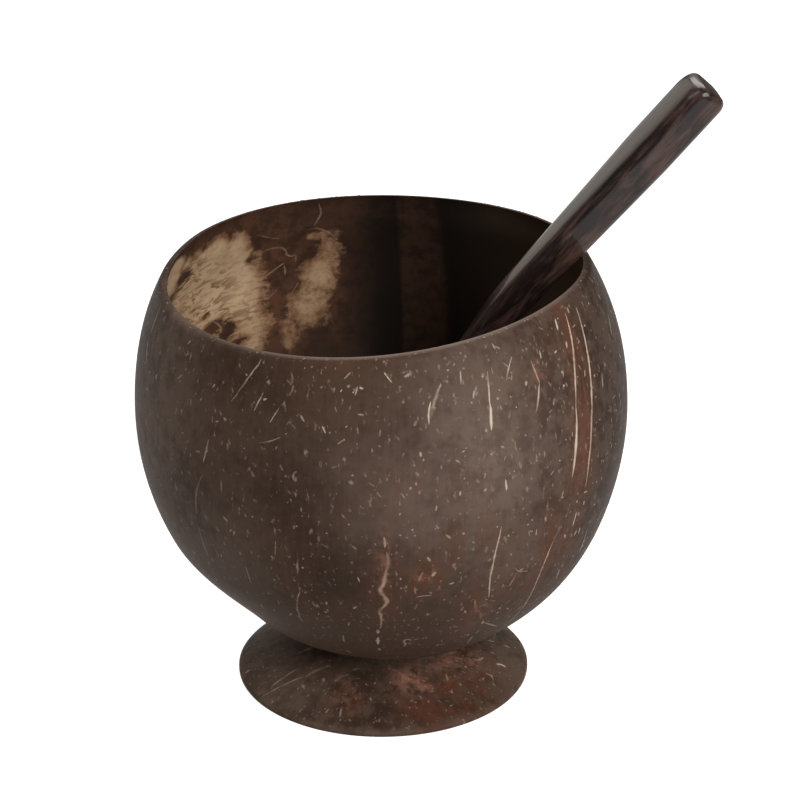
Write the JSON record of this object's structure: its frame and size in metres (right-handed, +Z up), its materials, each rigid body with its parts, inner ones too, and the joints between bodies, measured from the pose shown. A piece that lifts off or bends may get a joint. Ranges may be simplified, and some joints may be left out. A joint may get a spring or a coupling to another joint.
{
  "type": "coconut cup",
  "caption": "Round cup made from a polished coconut shell glued to a shallow shell foot, with a dark wooden spoon leaning in its open mouth.",
  "frame": {"origin": "middle of the foot's flat resting ring, on the table", "axes": "+Z up, +X towards the side where the spoon's handle leaves the cup, +Y away from the viewer of the front"},
  "size_m": [0.129, 0.11, 0.1399],
  "materials": {
    "bowl_shell": "polished coconut shell, satin",
    "foot_shell": "polished coconut shell, satin",
    "glue": "set resin glue",
    "spoon_wood": "dark hardwood under clear lacquer"
  },
  "bodies": {
    "cup": {"bowl_shell": "bowl_shell", "foot_shell": "foot_shell", "glue_bond": "glue"},
    "spoon": {"spoon": "spoon_wood"}
  },
  "joints": [
    {"name": "spoon_lift", "type": "slide", "parent": "cup", "child": "spoon", "axis": [0, 0, 1], "range_m": [0, 0.09]}
  ]
}
